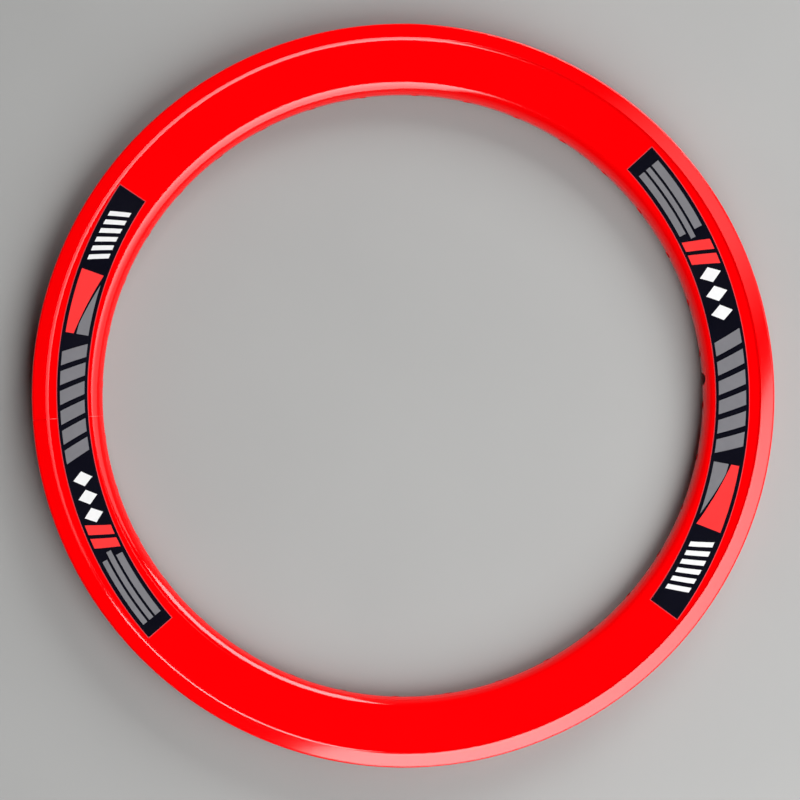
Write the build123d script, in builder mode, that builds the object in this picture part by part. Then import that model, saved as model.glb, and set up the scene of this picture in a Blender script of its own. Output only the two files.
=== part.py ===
from build123d import *
import os
from math import asin, degrees, sqrt

os.makedirs("parts", exist_ok=True)

# Deep-section double-wall bicycle rim, lying flat. Millimetres.
# The axle's axis is Z, the origin is the wheel's centre and the valve hole points along +X.
# The hoop is one extrusion rolled to a circle.
# Its ends butt opposite the valve hole, over a sleeve in the hollow.

# Tyre fit: bead seat and flange of the 406 mm tyre standard
bead_seat_diameter = 406
flange_height = 6.5
inner_width = 19
outer_width = 24

# Walls of the extrusion
depth = 39
flange_wall = 1.7
side_wall = 1.3
spoke_bed = 2.6
tyre_bed = 1.5
chamber_floor_width = 7.8

# Tyre channel: hook and bevels at the flange's tip, bead seat and drop well
hook_height = 2.6
flange_bevel = 0.8
bead_seat_width = 3.0
well_slope = 2.0
well_depth = 4.5

# Side: flat brake track, step below it, sloping wall, and round nose with a land for the nipple holes
track_depth = 7.8
step_run = 1.5
step_drop = 0.8
nose_radius = 8.4
nose_land = 4.8

# Drilling: nipple holes in the nose, wider access holes in the tyre bed, one valve hole
spoke_count = 36
spoke_hole = 4.5
access_hole = 9.0
valve_hole = 6.5
drill_overrun = 1.0

# Seam, in degrees from the valve hole, and the sleeve that holds the two ends
seam_position = 181
seam_gap = 0.1
sleeve_length = 70
sleeve_wall = 1.5
sleeve_fit = 0.1

# Printed films on the upper wall, cut to a flatter curve than the hoop's
film = 0.12
glue_line = 0.1
film_flattening = 9.8
valve_film_width = 18.4
valve_film_length = 290.3
valve_film_gap = 5.4
seam_film_width = 16.7
seam_film_length = 272.3
seam_film_gap = 4.9

# Radii and half widths that follow from these; a bevel takes a third of the flange's tip at most
outer_radius = bead_seat_diameter / 2 + flange_height
nose_tip = outer_radius - depth
nose_centre = nose_tip + sqrt(nose_radius**2 - (nose_land / 2) ** 2)
half_width = outer_width / 2
hook_edge = inner_width / 2
flange_face = half_width - flange_wall
tip_bevel = min(flange_bevel, (half_width - hook_edge) / 3)
bead_seat = bead_seat_diameter / 2
ledge_edge = flange_face - bead_seat_width
well_edge = ledge_edge - well_slope
well_floor = bead_seat - well_depth
track_edge = outer_radius - track_depth
wall_top = track_edge - step_run
wall_height = half_width - step_drop
film_curve_radius = wall_top + film_flattening
chamber_roof = well_floor - tyre_bed
seam_angle = degrees(seam_gap / outer_radius)
sleeve_angle = degrees(sleeve_length / nose_centre)
spoke_pitch = 360 / spoke_count


def section_plane(angle):
    """The plane through the axle at an angle from the valve hole: local X is radius, local Y is height."""
    return Plane.XZ.rotated((0, 0, angle))


def upper_side():
    """Land, nose arc and the sloping wall that leaves it smoothly and ends at the step. Gives the wall."""
    middle = Vector(nose_centre, 0)
    reach = Vector(wall_top, wall_height) - middle
    slope = reach.get_angle(Vector(1, 0)) - degrees(asin(nose_radius / reach.length))
    land_angle = degrees(asin(nose_land / 2 / nose_radius))
    Line((nose_tip, 0), (nose_tip, nose_land / 2))
    nose = CenterArc(middle, nose_radius, 180 - land_angle, slope - 90 + land_angle)
    return Line(nose @ 1, (wall_top, wall_height))


def drill(count, first_angle, radius, start, end):
    """Radial holes around the axle, from one distance to another."""
    with PolarLocations((start + end) / 2, count, start_angle=first_angle):
        Cylinder(radius, end - start, rotation=(0, 90, 0), mode=Mode.SUBTRACT)


def drill_spoke_holes():
    """The nipple holes and their access holes, through the hoop and through the sleeve where it lies."""
    sleeve_reach = sleeve_fit + sleeve_wall + drill_overrun
    nose_side = (nose_tip - drill_overrun, nose_tip + spoke_bed + sleeve_reach)
    tyre_side = (chamber_roof - sleeve_reach, well_floor + drill_overrun)
    drill(spoke_count, spoke_pitch / 2, spoke_hole / 2, *nose_side)
    drill(spoke_count, spoke_pitch / 2, access_hole / 2, *tyre_side)


with BuildSketch() as outline:
    with BuildLine():
        wall = upper_side()
        Polyline(
            wall @ 1,
            (track_edge, half_width),
            (outer_radius - tip_bevel, half_width),
            (outer_radius, half_width - tip_bevel),
            (outer_radius, hook_edge + tip_bevel),
            (outer_radius - tip_bevel, hook_edge),
            (outer_radius - hook_height, flange_face),
            (bead_seat, flange_face),
            (bead_seat, ledge_edge),
            (well_floor, well_edge),
            (well_floor, 0),
        )
        mirror(about=Plane.XZ)
    make_face()

shoulder = wall @ 0 + (wall % 0).rotate(Axis.Z, -90) * side_wall

with BuildSketch() as chamber:
    with BuildLine():
        Polyline(
            (nose_tip + spoke_bed, 0),
            (nose_tip + spoke_bed, chamber_floor_width / 2),
            shoulder,
            (wall_top, wall_height - side_wall),
            (chamber_roof, well_edge),
            (chamber_roof, 0),
        )
        mirror(about=Plane.XZ)
    make_face()

with BuildPart() as rim:
    with BuildSketch(section_plane(seam_position + seam_angle / 2)):
        add(outline.sketch)
        add(chamber.sketch, mode=Mode.SUBTRACT)
    revolve(axis=Axis.Z, revolution_arc=360 - seam_angle)
    drill_spoke_holes()
    drill(1, 0, valve_hole / 2, nose_tip - drill_overrun, well_floor + drill_overrun)

with BuildPart() as joint_sleeve:
    with BuildSketch(section_plane(seam_position - sleeve_angle / 2)):
        offset(chamber.sketch, amount=-sleeve_fit)
        offset(chamber.sketch, amount=-sleeve_fit - sleeve_wall, mode=Mode.SUBTRACT)
    revolve(axis=Axis.Z, revolution_arc=sleeve_angle)
    drill_spoke_holes()

with BuildSketch() as under_films:
    with BuildLine():
        wall = upper_side()
        Polyline(wall @ 1, (wall_top, 0), (nose_tip, 0))
    make_face()


def film_layer():
    """A layer of film all round the upper side, a line of glue away from it."""
    with BuildSketch(Plane.XZ) as layer:
        offset(under_films.sketch, amount=glue_line + film)
        offset(under_films.sketch, amount=glue_line, mode=Mode.SUBTRACT)
    revolve(layer.sketch, axis=Axis.Z)


def trim_film(middle_angle, width, length, gap):
    """Keeps a ring sector of the layer, whose outer edge is nearest to the step at its two ends."""
    curve_centre = (wall_top - gap - film_curve_radius, 0)
    sweep = degrees(length / film_curve_radius)
    with BuildSketch(Plane.XY.rotated((0, 0, middle_angle)).offset(half_width / 2)) as sector:
        with BuildLine():
            outer = CenterArc(curve_centre, film_curve_radius, -sweep / 2, sweep)
            inner = CenterArc(curve_centre, film_curve_radius - width, -sweep / 2, sweep)
            Line(inner @ 0, outer @ 0)
            Line(inner @ 1, outer @ 1)
        make_face()
    extrude(sector.sketch, amount=half_width, mode=Mode.INTERSECT)


with BuildPart() as decal_valve_side:
    film_layer()
    trim_film(0, valve_film_width, valve_film_length, valve_film_gap)

with BuildPart() as decal_seam_side:
    film_layer()
    trim_film(seam_position, seam_film_width, seam_film_length, seam_film_gap)

rim.part.label = "rim"
joint_sleeve.part.label = "joint_sleeve"
decal_valve_side.part.label = "decal_valve_side"
decal_seam_side.part.label = "decal_seam_side"

export_step(rim.part, "parts/rim.step")
export_step(joint_sleeve.part, "parts/joint_sleeve.step")
export_step(decal_valve_side.part, "parts/decal_valve_side.step")
export_step(decal_seam_side.part, "parts/decal_seam_side.step")
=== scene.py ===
from math import asin, atan2, cos, degrees, hypot, pi, radians, sin, sqrt, tan

import bmesh
import bpy
from mathutils import Matrix, Vector


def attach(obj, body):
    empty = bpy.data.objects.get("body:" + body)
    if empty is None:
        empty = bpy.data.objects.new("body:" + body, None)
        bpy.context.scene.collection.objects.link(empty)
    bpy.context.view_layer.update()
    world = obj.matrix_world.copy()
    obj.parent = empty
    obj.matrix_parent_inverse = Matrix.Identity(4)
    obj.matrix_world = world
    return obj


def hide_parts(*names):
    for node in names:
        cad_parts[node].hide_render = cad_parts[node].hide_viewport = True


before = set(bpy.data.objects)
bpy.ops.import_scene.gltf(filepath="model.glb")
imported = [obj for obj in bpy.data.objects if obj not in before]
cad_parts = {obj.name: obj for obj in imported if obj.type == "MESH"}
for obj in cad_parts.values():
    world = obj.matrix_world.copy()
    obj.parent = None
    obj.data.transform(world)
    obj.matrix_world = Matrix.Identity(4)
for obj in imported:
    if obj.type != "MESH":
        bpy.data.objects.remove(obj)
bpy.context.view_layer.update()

# Pieces are shaped in millimetres, with the axle along Z and the valve hole on +X, and made metres at the end
MM = 0.001

# The hoop's section, close to the CAD model's: radius from the axle, height from the middle plane
NOSE_TIP = 170.5
NOSE_RADIUS = 8.4
NOSE_LAND = 4.8
WALL_TOP = Vector((200.2, 11.2))
STEP_FOOT = 200.7
STEP_TOP = 201.55
TRACK_HEIGHT = 12.0
FLANGE_EDGE = 209.46
FLANGE_LIP = 1.25
HOOK_EDGE = 9.5
HOOK_FOOT = 206.9
FLANGE_FACE = 10.3
BEAD_SEAT = 203.0
LEDGE_EDGE = 7.3
WELL_FLOOR = 198.5
WELL_EDGE = 5.3

# Roundings of the section's corners
STEP_FOOT_ROUNDING = 3.0
STEP_TOP_ROUNDING = 0.4
FLANGE_ROUNDING = 1.15
HOOK_ROUNDING = 0.5
BEAD_SEAT_ROUNDING = 0.6
LEDGE_ROUNDING = 0.8
WELL_ROUNDING = 1.2

# The hollow in the hoop, and the walls around it
SIDE_WALL = 1.3
SPOKE_BED = 2.6
CHAMBER_ROOF = 197.0
CHAMBER_FLOOR = 7.8

# Drilling: nipple holes in the nose, wider access holes in the tyre bed, one valve hole
SPOKES = 36
SPOKE_HOLE = 4.5
ACCESS_HOLE = 9.0
VALVE_HOLE = 6.5

# The valve hole's edge is filed back: its depth in the nose, and its width where the cutter starts.
# There it is this many times higher than wide
FILING_DEPTH = 1.7
FILING_WIDTH = 7.6
FILING_STRETCH = 1.7

# Where the cutters start and end, outside the walls that they cut
VALVE_BIT_START = NOSE_TIP - 1
SPOKE_BIT_START = NOSE_TIP - 3
SPOKE_BIT_END = NOSE_TIP + 8
ACCESS_BIT_START = CHAMBER_ROOF - 3
WELL_BIT_END = WELL_FLOOR + 2

# The seam in degrees from the valve hole, its gap, and the lips that dip into it: turn in degrees, depth, curve
SEAM_ANGLE = 181.0
SEAM_GAP = 0.1
LIP_TURN = 0.1
LIP_DIP = 0.04
LIP_CURVE = 6

# Steps of the round shapes
ROUNDING_STEPS = 5
NOSE_STEPS = 16
HOOP_STEPS = 359
LIP_STEPS = 4
HOLE_STEPS = 32

# Points this close are one, slivers this thin are closed, and corners past this many degrees stay hard
SAME_POINT = 0.001
SLIVER = 0.002
HARD_CORNER = 32

# In the photograph the valve hole is this many degrees round from the right-hand side
VALVE_TURN = 3.13

nose_centre = NOSE_TIP + sqrt(NOSE_RADIUS**2 - (NOSE_LAND / 2) ** 2)
wall_reach = WALL_TOP - Vector((nose_centre, 0))
wall_slope = atan2(wall_reach.y, wall_reach.x) - asin(NOSE_RADIUS / wall_reach.length)
nose_end = nose_centre - NOSE_RADIUS * sin(wall_slope)
half_seam = degrees(SEAM_GAP / nose_centre) / 2


def wall_height(radius):
    """Height of the upper side's wall or nose at a distance from the axle."""
    if radius < nose_end:
        return sqrt(NOSE_RADIUS**2 - (nose_centre - radius) ** 2)
    return WALL_TOP.y - (WALL_TOP.x - radius) * tan(wall_slope)


# Materials

# Patches of colour are this much finer than patches of gloss
COLOUR_FINENESS = 1.7
RIPPLE_DEPTH = 0.003


def add_sockets(group, kind, *names):
    """Gives a node group number inputs and, by the last name, one output of a kind."""
    for name in names[:-1]:
        group.interface.new_socket(name, in_out="INPUT", socket_type="NodeSocketFloat")
    group.interface.new_socket(names[-1], in_out="OUTPUT", socket_type=kind)
    return group.nodes.new("NodeGroupInput"), group.nodes.new("NodeGroupOutput")


def ripple_group():
    """A shared effect: the slight ripple of sprayed paint and of stuck film, as a normal."""
    group = bpy.data.node_groups.new("surface_ripple", "ShaderNodeTree")
    start, end = add_sockets(group, "NodeSocketVector", "Scale", "Depth", "Normal")
    place = group.nodes.new("ShaderNodeTexCoord")
    noise = group.nodes.new("ShaderNodeTexNoise")
    bump = group.nodes.new("ShaderNodeBump")
    noise.inputs["Detail"].default_value = 1.0
    bump.inputs["Strength"].default_value = 1.0
    group.links.new(place.outputs["Object"], noise.inputs["Vector"])
    group.links.new(start.outputs["Scale"], noise.inputs["Scale"])
    group.links.new(noise.outputs["Fac"], bump.inputs["Height"])
    group.links.new(start.outputs["Depth"], bump.inputs["Distance"])
    group.links.new(bump.outputs["Normal"], end.inputs["Normal"])
    return group


def drift_group():
    """A shared effect: a value that drifts over the surface between a low and a high one."""
    group = bpy.data.node_groups.new("surface_drift", "ShaderNodeTree")
    start, end = add_sockets(group, "NodeSocketFloat", "Scale", "Low", "High", "Value")
    place = group.nodes.new("ShaderNodeTexCoord")
    noise = group.nodes.new("ShaderNodeTexNoise")
    spread = group.nodes.new("ShaderNodeMapRange")
    noise.inputs["Detail"].default_value = 3.0
    spread.inputs["From Min"].default_value = 0.3
    spread.inputs["From Max"].default_value = 0.7
    group.links.new(place.outputs["Object"], noise.inputs["Vector"])
    group.links.new(start.outputs["Scale"], noise.inputs["Scale"])
    group.links.new(noise.outputs["Fac"], spread.inputs["Value"])
    group.links.new(start.outputs["Low"], spread.inputs["To Min"])
    group.links.new(start.outputs["High"], spread.inputs["To Max"])
    group.links.new(spread.outputs["Result"], end.inputs["Value"])
    return group


ripple = ripple_group()
drift = drift_group()


def add_effect(material, group, **values):
    """Places a shared effect in a material and gives its output."""
    effect = material.node_tree.nodes.new("ShaderNodeGroup")
    effect.node_tree = group
    for name, value in values.items():
        effect.inputs[name].default_value = value
    return effect.outputs[0]


def surface_finish(name, colour, shade, gloss, patch, metallic=0.0, specular=0.5):
    """A material whose colour drifts to a darker shade, and its roughness between two values, in patches."""
    material = bpy.data.materials.new(name)
    material.use_nodes = True
    nodes = material.node_tree.nodes
    links = material.node_tree.links
    shader = nodes["Principled BSDF"]
    shader.inputs["Metallic"].default_value = metallic
    shader.inputs["Specular IOR Level"].default_value = specular
    roughness = add_effect(material, drift, Scale=patch, Low=gloss[0], High=gloss[1])
    links.new(roughness, shader.inputs["Roughness"])
    tone = nodes.new("ShaderNodeValToRGB")
    tone.color_ramp.elements[0].color = (*(part * shade for part in colour), 1)
    tone.color_ramp.elements[1].color = (*colour, 1)
    share = add_effect(material, drift, Scale=patch * COLOUR_FINENESS, Low=0.0, High=1.0)
    links.new(share, tone.inputs["Fac"])
    links.new(tone.outputs["Color"], shader.inputs["Base Color"])
    return material


def add_ripple(material, scale):
    """Feeds the shared ripple to a material's normal."""
    normal = add_effect(material, ripple, Scale=scale, Depth=RIPPLE_DEPTH * MM)
    shader = material.node_tree.nodes["Principled BSDF"]
    material.node_tree.links.new(normal, shader.inputs["Normal"])


def add_draw_lines(material, spacing, depth):
    """Feeds fine lines along the hoop, as a die leaves on an extrusion, to a material's normal."""
    nodes = material.node_tree.nodes
    links = material.node_tree.links
    place = nodes.new("ShaderNodeTexCoord")
    split = nodes.new("ShaderNodeSeparateXYZ")
    flat = nodes.new("ShaderNodeCombineXYZ")
    reach = nodes.new("ShaderNodeVectorMath")
    reach.operation = "LENGTH"
    section = nodes.new("ShaderNodeCombineXYZ")
    noise = nodes.new("ShaderNodeTexNoise")
    noise.inputs["Scale"].default_value = 1 / (spacing * MM)
    bump = nodes.new("ShaderNodeBump")
    bump.inputs["Strength"].default_value = 1.0
    bump.inputs["Distance"].default_value = depth * MM
    links.new(place.outputs["Object"], split.inputs["Vector"])
    links.new(split.outputs["X"], flat.inputs["X"])
    links.new(split.outputs["Y"], flat.inputs["Y"])
    links.new(flat.outputs["Vector"], reach.inputs[0])
    links.new(reach.outputs["Value"], section.inputs["X"])
    links.new(split.outputs["Z"], section.inputs["Z"])
    links.new(section.outputs["Vector"], noise.inputs["Vector"])
    links.new(noise.outputs["Fac"], bump.inputs["Height"])
    links.new(bump.outputs["Normal"], nodes["Principled BSDF"].inputs["Normal"])


red_paint = surface_finish(
    "red_paint", (0.85, 0.0, 0.001), shade=0.975, gloss=(0.06, 0.08), patch=18.0, specular=0.55
)
add_ripple(red_paint, scale=260.0)
bare_aluminium = surface_finish(
    "bare_aluminium", (0.62, 0.62, 0.64), shade=0.8, gloss=(0.34, 0.5), patch=60.0, metallic=1.0
)
add_draw_lines(bare_aluminium, spacing=0.25, depth=0.01)
# The valve hole's wall is a dark, matt red. This is painted shade for the shadow inside the hole, not a paint
# of its own
painted_hole_shade = surface_finish(
    "painted_hole_shade", (0.12, 0.003, 0.004), shade=0.7, gloss=(0.5, 0.7), patch=300.0, specular=0.3
)
hoop_materials = [red_paint, bare_aluminium, painted_hole_shade]
HOLLOW = hoop_materials.index(bare_aluminium)
VALVE_HOLE_SHADE = hoop_materials.index(painted_hole_shade)

INK_GLOSS = (0.13, 0.17)
film_inks = [
    surface_finish("film_clear", (0.55, 0.05, 0.06), shade=0.9, gloss=INK_GLOSS, patch=40.0),
    surface_finish("film_black", (0.0033, 0.0033, 0.0076), shade=0.8, gloss=(0.1, 0.14), patch=40.0),
    surface_finish("film_grey", (0.172, 0.169, 0.183), shade=0.93, gloss=INK_GLOSS, patch=90.0),
    surface_finish("film_white", (0.75, 0.75, 0.75), shade=0.94, gloss=INK_GLOSS, patch=90.0),
    surface_finish("film_coral", (0.82, 0.035, 0.035), shade=0.95, gloss=INK_GLOSS, patch=90.0),
]
CLEAR, BLACK, GREY, WHITE, CORAL = range(len(film_inks))
for film_ink in film_inks:
    add_ripple(film_ink, scale=180.0)


def soften(bm):
    """Smooth shading that keeps hard corners hard."""
    for face in bm.faces:
        face.smooth = True
    for edge in bm.edges:
        edge.smooth = len(edge.link_faces) == 2 and edge.calc_face_angle() < radians(HARD_CORNER)


def new_piece(name, bm, materials, node):
    """A finished shape as a piece of the object, in metres and in place of a CAD node."""
    bmesh.ops.scale(bm, vec=(MM, MM, MM), verts=bm.verts)
    bmesh.ops.recalc_face_normals(bm, faces=bm.faces)
    soften(bm)
    mesh = bpy.data.meshes.new(name)
    bm.to_mesh(mesh)
    bm.free()
    piece = bpy.data.objects.new(name, mesh)
    bpy.context.scene.collection.objects.link(piece)
    for material in materials:
        mesh.materials.append(material)
    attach(piece, "root")
    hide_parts(node)
    return piece


# The hoop


def draw_line(bm, corners):
    """A line in the plane through the axle, from corners of (radius, height, rounding)."""
    verts = [bm.verts.new((radius, 0, height)) for radius, height, rounding in corners]
    for start, end in zip(verts, verts[1:]):
        bm.edges.new((start, end))
    for vert, (radius, height, rounding) in zip(verts, corners):
        if rounding > 0:
            bmesh.ops.bevel(
                bm,
                geom=[vert],
                offset=rounding * tan(vert.calc_edge_angle() / 2),
                offset_type="OFFSET",
                segments=ROUNDING_STEPS,
                profile=0.5,
                affect="VERTICES",
                material=-1,
            )


def mirror_down(bm):
    """Closes a section with the mirror image of its upper half."""
    half = bm.verts[:] + bm.edges[:]
    bmesh.ops.mirror(bm, geom=half, matrix=Matrix.Identity(4), merge_dist=SAME_POINT, axis="Z")
    bmesh.ops.remove_doubles(bm, verts=bm.verts, dist=SAME_POINT)


def outer_section(bm):
    """The hoop's outside: nose, sloping wall, step, brake track, flange, bead seat and drop well."""
    half_land = NOSE_LAND / 2
    draw_line(bm, [(NOSE_TIP, 0, 0), (NOSE_TIP, half_land, 0)])
    nose_start = bm.verts.new((NOSE_TIP, 0, half_land))
    land_angle = asin(half_land / NOSE_RADIUS)
    bmesh.ops.spin(
        bm,
        geom=[nose_start],
        cent=(nose_centre, 0, 0),
        axis=(0, 1, 0),
        angle=pi / 2 - wall_slope - land_angle,
        steps=NOSE_STEPS,
    )
    draw_line(
        bm,
        [
            (nose_end, wall_height(nose_end), 0),
            (STEP_FOOT, wall_height(STEP_FOOT), STEP_FOOT_ROUNDING),
            (STEP_TOP, TRACK_HEIGHT, STEP_TOP_ROUNDING),
            (FLANGE_EDGE, TRACK_HEIGHT, FLANGE_ROUNDING),
            (FLANGE_EDGE, HOOK_EDGE, FLANGE_ROUNDING),
            (FLANGE_EDGE - FLANGE_LIP, HOOK_EDGE, 0),
            (HOOK_FOOT, FLANGE_FACE, HOOK_ROUNDING),
            (BEAD_SEAT, FLANGE_FACE, BEAD_SEAT_ROUNDING),
            (BEAD_SEAT, LEDGE_EDGE, LEDGE_ROUNDING),
            (WELL_FLOOR, WELL_EDGE, WELL_ROUNDING),
            (WELL_FLOOR, 0, 0),
        ],
    )
    mirror_down(bm)


def chamber_section(bm):
    """The hollow inside the hoop."""
    floor_face = NOSE_TIP + SPOKE_BED
    shoulder = nose_end + SIDE_WALL * sin(wall_slope)
    shoulder_height = wall_height(nose_end) - SIDE_WALL * cos(wall_slope)
    draw_line(
        bm,
        [
            (floor_face, 0, 0),
            (floor_face, CHAMBER_FLOOR / 2, 0),
            (shoulder, shoulder_height, 0),
            (WALL_TOP.x, WALL_TOP.y - SIDE_WALL, 0),
            (CHAMBER_ROOF, WELL_EDGE, 0),
            (CHAMBER_ROOF, 0, 0),
        ],
    )
    mirror_down(bm)


def from_seam(vert):
    """A point's angle from the seam in degrees, with its sign."""
    return (degrees(atan2(vert.co.y, vert.co.x)) - SEAM_ANGLE + 180) % 360 - 180


def roll(bm):
    """Spins a section round the axle from one side of the seam to the other, with close steps at the lips."""
    to_seam = Matrix.Rotation(radians(SEAM_ANGLE + half_seam), 3, "Z")
    bmesh.ops.rotate(bm, verts=bm.verts, matrix=to_seam)
    ring = bm.verts[:] + bm.edges[:]
    lip = (LIP_TURN, LIP_STEPS)
    hoop = (360 - 2 * (half_seam + LIP_TURN), HOOP_STEPS)
    for turn, steps in (lip, hoop, lip):
        spun = bmesh.ops.spin(bm, geom=ring, axis=(0, 0, 1), angle=radians(turn), steps=steps)
        ring = spun["geom_last"]
    bmesh.ops.recalc_face_normals(bm, faces=bm.faces)


def dip_at_seam(bm):
    """Lets the outside dip a hair into the seam, as two dressed ends do."""
    bm.normal_update()
    for vert in bm.verts:
        share = 1 - (abs(from_seam(vert)) - half_seam) / LIP_TURN
        if share > 0:
            vert.co -= vert.normal * LIP_DIP * share**LIP_CURVE


def hoop_mesh():
    """The rolled extrusion, painted outside and bare inside, with its two ends closed."""
    hollow = bmesh.new()
    chamber_section(hollow)
    roll(hollow)
    for face in hollow.faces:
        face.material_index = HOLLOW
    lining = bpy.data.meshes.new("lining")
    hollow.to_mesh(lining)
    hollow.free()
    bm = bmesh.new()
    outer_section(bm)
    roll(bm)
    dip_at_seam(bm)
    bm.from_mesh(lining)
    bpy.data.meshes.remove(lining)
    for side in (1, -1):
        end = [edge for edge in bm.edges if edge.is_boundary and from_seam(edge.verts[0]) * side > 0]
        bmesh.ops.triangle_fill(bm, edges=end, use_beauty=True)
    return bm


def valve_bit(bm):
    """A cutter for the valve hole, whose edge in the nose is filed back above and below, and whose walls take a
    dark red that is painted shade.
    """
    profile = [
        (VALVE_BIT_START, 0),
        (VALVE_BIT_START, FILING_WIDTH / 2),
        (NOSE_TIP + FILING_DEPTH, VALVE_HOLE / 2),
        (WELL_BIT_END, VALVE_HOLE / 2),
        (WELL_BIT_END, 0),
    ]
    line = [bm.verts.new((distance, 0, radius)) for distance, radius in profile]
    line += [bm.edges.new(ends) for ends in zip(line, line[1:])]
    bmesh.ops.spin(bm, geom=line, axis=(1, 0, 0), angle=2 * pi, steps=HOLE_STEPS, use_merge=True)
    filed = [vert for vert in bm.verts if vert.co.x < NOSE_TIP]
    bmesh.ops.scale(bm, verts=filed, vec=(1, 1, FILING_STRETCH))
    # The valve hole's wall gets painted shade: a dark red for the shadow in the hole
    for face in bm.faces:
        face.material_index = VALVE_HOLE_SHADE


def spoke_bits(bm):
    """Cutters for the nipple holes and their access holes, whose walls are painted like the outside."""
    before = len(bm.verts), len(bm.edges), len(bm.faces)
    outwards = Matrix.Rotation(pi / 2, 4, "Y")
    nipple = (SPOKE_BIT_START, SPOKE_BIT_END, SPOKE_HOLE / 2)
    access = (ACCESS_BIT_START, WELL_BIT_END, ACCESS_HOLE / 2)
    for start, end, radius in (nipple, access):
        bmesh.ops.create_cone(
            bm,
            cap_ends=True,
            segments=HOLE_STEPS,
            radius1=radius,
            radius2=radius,
            depth=end - start,
            matrix=Matrix.Translation(((start + end) / 2, 0, 0)) @ outwards,
        )
    pair = bm.verts[before[0] :]
    pitch = 2 * pi / SPOKES
    bmesh.ops.rotate(bm, verts=pair, matrix=Matrix.Rotation(pitch / 2, 3, "Z"))
    pair += bm.edges[before[1] :] + bm.faces[before[2] :]
    bmesh.ops.spin(
        bm, geom=pair, axis=(0, 0, 1), angle=2 * pi - pitch, steps=SPOKES - 1, use_duplicate=True
    )


def drill_bits():
    """All the cutters, in metres. The merge takes out the second copy of a pair that the spin leaves."""
    bm = bmesh.new()
    valve_bit(bm)
    spoke_bits(bm)
    bmesh.ops.remove_doubles(bm, verts=bm.verts, dist=SAME_POINT)
    bmesh.ops.recalc_face_normals(bm, faces=bm.faces)
    bmesh.ops.scale(bm, vec=(MM, MM, MM), verts=bm.verts)
    return bm


def drill(piece):
    """Cuts the holes into the hoop, and closes the slivers that the cuts leave."""
    bits = drill_bits()
    mesh = bpy.data.meshes.new("drill_bits")
    bits.to_mesh(mesh)
    bits.free()
    tool = bpy.data.objects.new("drill_bits", mesh)
    bpy.context.scene.collection.objects.link(tool)
    cut = piece.modifiers.new("holes", "BOOLEAN")
    cut.operation = "DIFFERENCE"
    cut.solver = "EXACT"
    cut.object = tool
    drilled = piece.evaluated_get(bpy.context.evaluated_depsgraph_get())
    piece.data = bpy.data.meshes.new_from_object(drilled)
    piece.modifiers.clear()
    bpy.data.objects.remove(tool)
    bm = bmesh.new()
    bm.from_mesh(piece.data)
    bmesh.ops.remove_doubles(bm, verts=bm.verts, dist=SLIVER * MM)
    bmesh.ops.dissolve_degenerate(bm, edges=bm.edges, dist=SLIVER * MM)
    soften(bm)
    bm.to_mesh(piece.data)
    bm.free()
    even = piece.modifiers.new("even_shading", "WEIGHTED_NORMAL")
    even.keep_sharp = True


rim = new_piece("rim_hoop", hoop_mesh(), hoop_materials, "rim")
drill(rim)

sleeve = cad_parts["joint_sleeve"]
sleeve.data.materials.clear()
sleeve.data.materials.append(bare_aluminium)

# The printed films

FILM_THICKNESS = 0.12
CLEAR_MARGIN = 0.4

# The curve that the films' outer edges are cut to, flatter than the hoop's
FILM_CURVE = 210.0

# Steps of the film's mesh, and how near to a point of it a cut moves over to that point
FILM_STEP_ALONG = 1.6
FILM_STEP_ACROSS = 0.8
CUT_SNAP = 0.01

# The design is drawn for a film this long and stretched to each film's own length
DESIGN_LENGTH = 277


class Film:
    """A film's own measures: along its middle line from its centre, across from its inner edge, and lift."""

    def __init__(self, angle, width, sweep, outer, lean):
        self.angle = angle
        self.width = width
        self.centre_x = (outer - FILM_CURVE) * cos(radians(lean))
        self.centre_y = (outer - FILM_CURVE) * sin(radians(lean))
        self.middle = FILM_CURVE - width / 2
        self.length = radians(sweep) * self.middle
        self.stretch = self.length / DESIGN_LENGTH

    def stretched(self, *lengths):
        """Lengths of the design, along this film."""
        return [length * self.stretch for length in lengths]

    def laid(self, flat):
        """The place on the wall of a point of the flat film."""
        turn = flat.x / self.middle
        reach = FILM_CURVE - self.width + flat.y
        x = self.centre_x + reach * cos(turn)
        y = self.centre_y + reach * sin(turn)
        radius = hypot(x, y)
        angle = radians(self.angle) + atan2(y, x)
        return Vector((radius * cos(angle), radius * sin(angle), wall_height(radius) + flat.z))


def block(left, right, low, high, ink):
    """A block with square corners."""
    return [(ink, [(left, low), (right, low), (right, high), (left, high)])]


def slanted_bars(film, start, bar, gap, count, margin, lean, ink):
    """A row of leaning bars."""
    start, bar, gap = film.stretched(start, bar, gap)
    low, high = margin, film.width - margin
    bars = []
    for number in range(count):
        left = start + number * (bar + gap)
        bars.append((ink, [(left, low), (left + bar, low), (left + bar + lean, high), (left + lean, high)]))
    return bars


def lozenges(film, start, long, gap, count, margin, ink):
    """A row of upright lozenges."""
    start, long, gap = film.stretched(start, long, gap)
    low, high = margin, film.width - margin
    middle = (low + high) / 2
    row = []
    for number in range(count):
        left = start + number * (long + gap)
        centre = left + long / 2
        row.append((ink, [(left, middle), (centre, low), (left + long, middle), (centre, high)]))
    return row


def wedge(film, margin):
    """A coral wedge that narrows along the film, over a grey one that widens."""
    left, grey_left, grey_peak, right = film.stretched(-86, -80, -54, -48)
    top = film.width - margin
    coral = [(left, margin), (right, film.width - 6.5), (right, top), (left, top)]
    grey = [(grey_left, margin), (right, margin), (right, film.width - 8.0), (grey_peak, film.width - 8.5)]
    return [(CORAL, coral), (GREY, grey)]


def ruled_panel(film, margin):
    """Three grey rules, of which the middle one is longer."""
    left, middle_left, right = film.stretched(88, 84, 131)
    rules = block(left, right, margin, 6.0, GREY)
    rules += block(middle_left, right, 7.4, 10.2, GREY)
    rules += block(left, right, 11.6, film.width - margin, GREY)
    return rules


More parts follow.
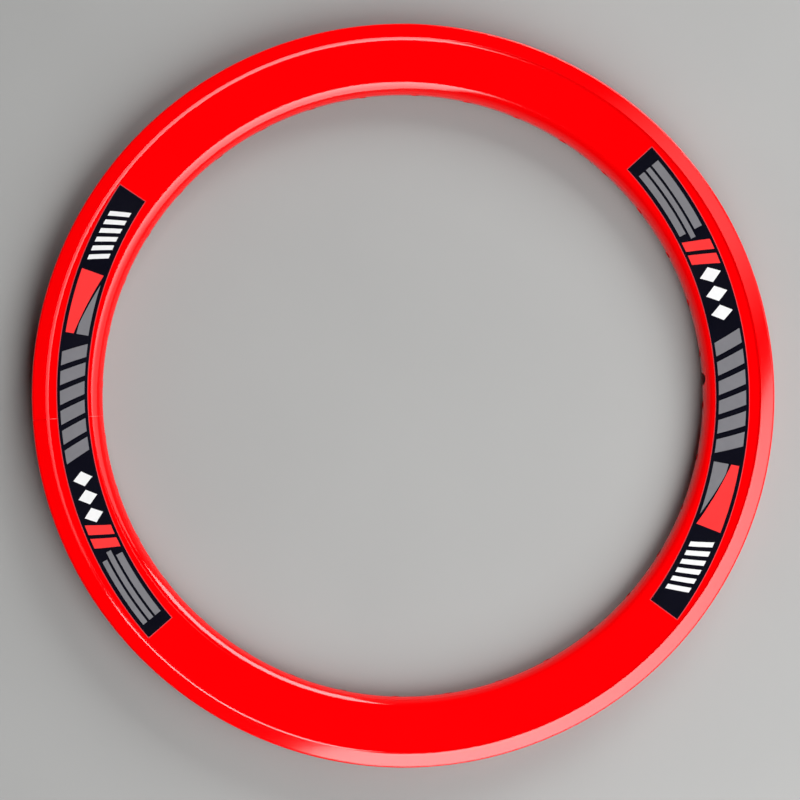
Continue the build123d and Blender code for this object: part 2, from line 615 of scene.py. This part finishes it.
def film_print(film):
    """The design printed on both films: a black ground with bars, a wedge, lozenges and a ruled panel."""
    half = film.length / 2
    design = block(-half, half, 0, film.width, BLACK)
    design += slanted_bars(film, start=-128, bar=3.0, gap=2.6, count=6, margin=3, lean=5, ink=WHITE)
    design += wedge(film, margin=2)
    design += slanted_bars(film, start=-43, bar=8.0, gap=3.4, count=6, margin=1.6, lean=6, ink=GREY)
    design += lozenges(film, start=34, long=9, gap=2.2, count=3, margin=3, ink=WHITE)
    design += slanted_bars(film, start=70, bar=6.0, gap=2.4, count=2, margin=1.6, lean=-5, ink=CORAL)
    design += ruled_panel(film, margin=2.2)
    return design


def print_shape(bm, ink, corners):
    """Cuts the flat film along the sides of a shape and inks the faces inside it."""
    corners = [Vector(corner).to_3d() for corner in corners]
    sides = list(zip(corners, corners[1:] + corners[:1]))
    for start, end in sides:
        sheet = bm.verts[:] + bm.edges[:] + bm.faces[:]
        across = (end - start).cross(Vector((0, 0, 1)))
        bmesh.ops.bisect_plane(bm, geom=sheet, dist=CUT_SNAP, plane_co=start, plane_no=across)
    for face in bm.faces:
        middle = face.calc_center_median()
        if all((end - start).cross(middle - start).z > 0 for start, end in sides):
            face.material_index = ink


def film_mesh(film):
    """A film cut and printed flat, given its thickness, and laid on the wall."""
    bm = bmesh.new()
    length = film.length + 2 * CLEAR_MARGIN
    width = film.width + 2 * CLEAR_MARGIN
    steps_along = round(length / FILM_STEP_ALONG)
    steps_across = round(width / FILM_STEP_ACROSS)
    bmesh.ops.create_grid(bm, x_segments=steps_along, y_segments=steps_across, size=0.5)
    bmesh.ops.scale(bm, vec=(length, width, 1), verts=bm.verts)
    bmesh.ops.translate(bm, vec=(0, film.width / 2, 0), verts=bm.verts)
    for ink, corners in film_print(film):
        print_shape(bm, ink, corners)
    back = bm.faces[:]
    raised = bmesh.ops.extrude_face_region(bm, geom=back)["geom"]
    top = [item for item in raised if isinstance(item, bmesh.types.BMVert)]
    bmesh.ops.translate(bm, vec=(0, 0, FILM_THICKNESS), verts=top)
    for face in back:
        face.material_index = CLEAR
    for vert in bm.verts:
        vert.co = film.laid(vert.co)
    return bm


valve_film = film_mesh(Film(angle=-0.2, width=18.4, sweep=79.2, outer=194.8, lean=2.7))
new_piece("film_valve_side", valve_film, film_inks, "decal_valve_side")
seam_film = film_mesh(Film(angle=180.65, width=16.7, sweep=74.3, outer=195.3, lean=2.1))
new_piece("film_seam_side", seam_film, film_inks, "decal_seam_side")

# Floor, light and camera

# The floor's reach from its middle to each side in metres, and a hair of air under the hoop
FLOOR_REACH = 6.0
FLOOR_GAP = 0.05

floor_mesh = bpy.data.meshes.new("floor")
floor_bm = bmesh.new()
bmesh.ops.create_grid(floor_bm, x_segments=1, y_segments=1, size=FLOOR_REACH)
bmesh.ops.translate(floor_bm, verts=floor_bm.verts, vec=(0, 0, -(TRACK_HEIGHT + FLOOR_GAP) * MM))
floor_bm.to_mesh(floor_mesh)
floor_bm.free()
floor = bpy.data.objects.new("floor", floor_mesh)
bpy.context.scene.collection.objects.link(floor)
floor_pale = surface_finish(
    "floor_pale", (0.34, 0.34, 0.335), shade=0.97, gloss=(0.85, 0.95), patch=6.0, specular=0.2
)
floor_mesh.materials.append(floor_pale)


def aimed(source, target, up):
    """A place and turn that looks from one point to another, in the photograph's axes and in millimetres."""
    back = (source - target).normalized()
    right = up.cross(back).normalized()
    turn = Matrix((right, back.cross(right), back)).transposed().to_4x4()
    return Matrix.Rotation(radians(-VALVE_TURN), 4, "Z") @ Matrix.Translation(source * MM) @ turn


def softbox(name, place, target, up, size, power):
    """A flat soft light that faces a point."""
    light = bpy.data.lights.new(name, "AREA")
    light.shape = "RECTANGLE"
    light.size, light.size_y = size[0] * MM, size[1] * MM
    light.energy = power
    lamp = bpy.data.objects.new(name, light)
    lamp.matrix_world = aimed(place, target, up)
    bpy.context.scene.collection.objects.link(lamp)
    return lamp


def fade(lamp, along, start, end, levels):
    """Dims a softbox over its face, from one level to another between two distances from its middle."""
    lamp.data.use_nodes = True
    tree = lamp.data.node_tree
    strength = tree.nodes["Emission"].inputs["Strength"]
    axis = lamp.matrix_world.to_3x3() @ Vector((*along, 0)).normalized()
    middle = axis.dot(lamp.matrix_world.translation)
    place = tree.nodes.new("ShaderNodeNewGeometry")
    reach = tree.nodes.new("ShaderNodeVectorMath")
    reach.operation = "DOT_PRODUCT"
    reach.inputs[1].default_value = axis
    level = tree.nodes.new("ShaderNodeMapRange")
    level.inputs["From Min"].default_value = middle + start * MM
    level.inputs["From Max"].default_value = middle + end * MM
    level.inputs["To Min"].default_value = levels[0]
    level.inputs["To Max"].default_value = levels[1]
    product = tree.nodes.new("ShaderNodeMath")
    product.operation = "MULTIPLY"
    product.inputs[1].default_value = 1.0
    if strength.is_linked:
        tree.links.new(strength.links[0].from_socket, product.inputs[1])
    tree.links.new(place.outputs["Position"], reach.inputs[0])
    tree.links.new(reach.outputs["Value"], level.inputs["Value"])
    tree.links.new(level.outputs["Result"], product.inputs[0])
    tree.links.new(product.outputs["Value"], strength)


# The main softbox slopes down from a straight upper edge, and that edge ends the sheen on the brake track,
# from the foot of the picture to its right
edge_place = Vector((258, -152, 1500))
edge_along = Vector((0.783, 0.622, 0))
edge_out = Vector((0.622, -0.783, 0))
edge_shift = 345
box_slope = radians(27)
box_size = (3090, 1750)
box_fall = edge_out * cos(box_slope) - Vector((0, 0, 1)) * sin(box_slope)
box_middle = edge_place + edge_along * edge_shift + box_fall * (box_size[1] / 2)
main_light = softbox(
    "main_softbox",
    place=box_middle,
    target=box_middle + edge_along.cross(box_fall),
    up=-box_fall,
    size=box_size,
    power=127.0,
)
fade(main_light, along=(1, 0), start=-495, end=305, levels=(1.0, 0.22))
fade(main_light, along=(0, -1), start=-875, end=125, levels=(1.05, 0.55))
fade(main_light, along=(0.787, -0.617), start=-1150, end=-1070, levels=(0.0, 1.0))

softbox(
    "side_softbox",
    place=Vector((1050, 1590, 1100)),
    target=Vector((0, 0, 0)),
    up=Vector((0, 0, 1)),
    size=(1500, 1100),
    power=42.0,
)

# A small softbox gives the sheen on the brake track at the upper right
corner_light = softbox(
    "corner_softbox",
    place=Vector((432, 265, 1500)),
    target=Vector((168, 118, 0)),
    up=Vector((0.84, 0.54, 0)),
    size=(320, 140),
    power=0.19,
)
fade(corner_light, along=(1, 0), start=-160, end=-50, levels=(0.0, 1.0))
fade(corner_light, along=(1, 0), start=50, end=160, levels=(1.0, 0.0))

# The surroundings are bright at the horizon and dark from this height of the view upwards
HORIZON_LEVEL = 0.3
DARK_FROM = 0.55

world = bpy.data.worlds.new("studio")
bpy.context.scene.world = world
world.use_nodes = True
world_nodes = world.node_tree.nodes
world_links = world.node_tree.links
background = world_nodes["Background"]
direction = world_nodes.new("ShaderNodeTexCoord")
direction_parts = world_nodes.new("ShaderNodeSeparateXYZ")
dimming = world_nodes.new("ShaderNodeMapRange")
dimming.inputs["From Min"].default_value = 0.0
dimming.inputs["From Max"].default_value = DARK_FROM
dimming.inputs["To Min"].default_value = HORIZON_LEVEL
dimming.inputs["To Max"].default_value = 0.0
world_links.new(direction.outputs["Generated"], direction_parts.inputs["Vector"])
world_links.new(direction_parts.outputs["Z"], dimming.inputs["Value"])
world_links.new(dimming.outputs["Result"], background.inputs["Strength"])
background.inputs["Color"].default_value = (1, 1, 1, 1)

camera_data = bpy.data.cameras.new("camera")
camera_data.lens = 119.6
camera_data.sensor_width = 36
camera_data.clip_end = 50
camera = bpy.data.objects.new("camera", camera_data)
bpy.context.scene.collection.objects.link(camera)
camera.matrix_world = aimed(
    source=Vector((-99.5, -47.1, 1502.4)), target=Vector((-2.9, -3.0, 0)), up=Vector((0, 1, 0))
)
bpy.context.scene.camera = camera
bpy.context.scene.view_settings.view_transform = "Standard"
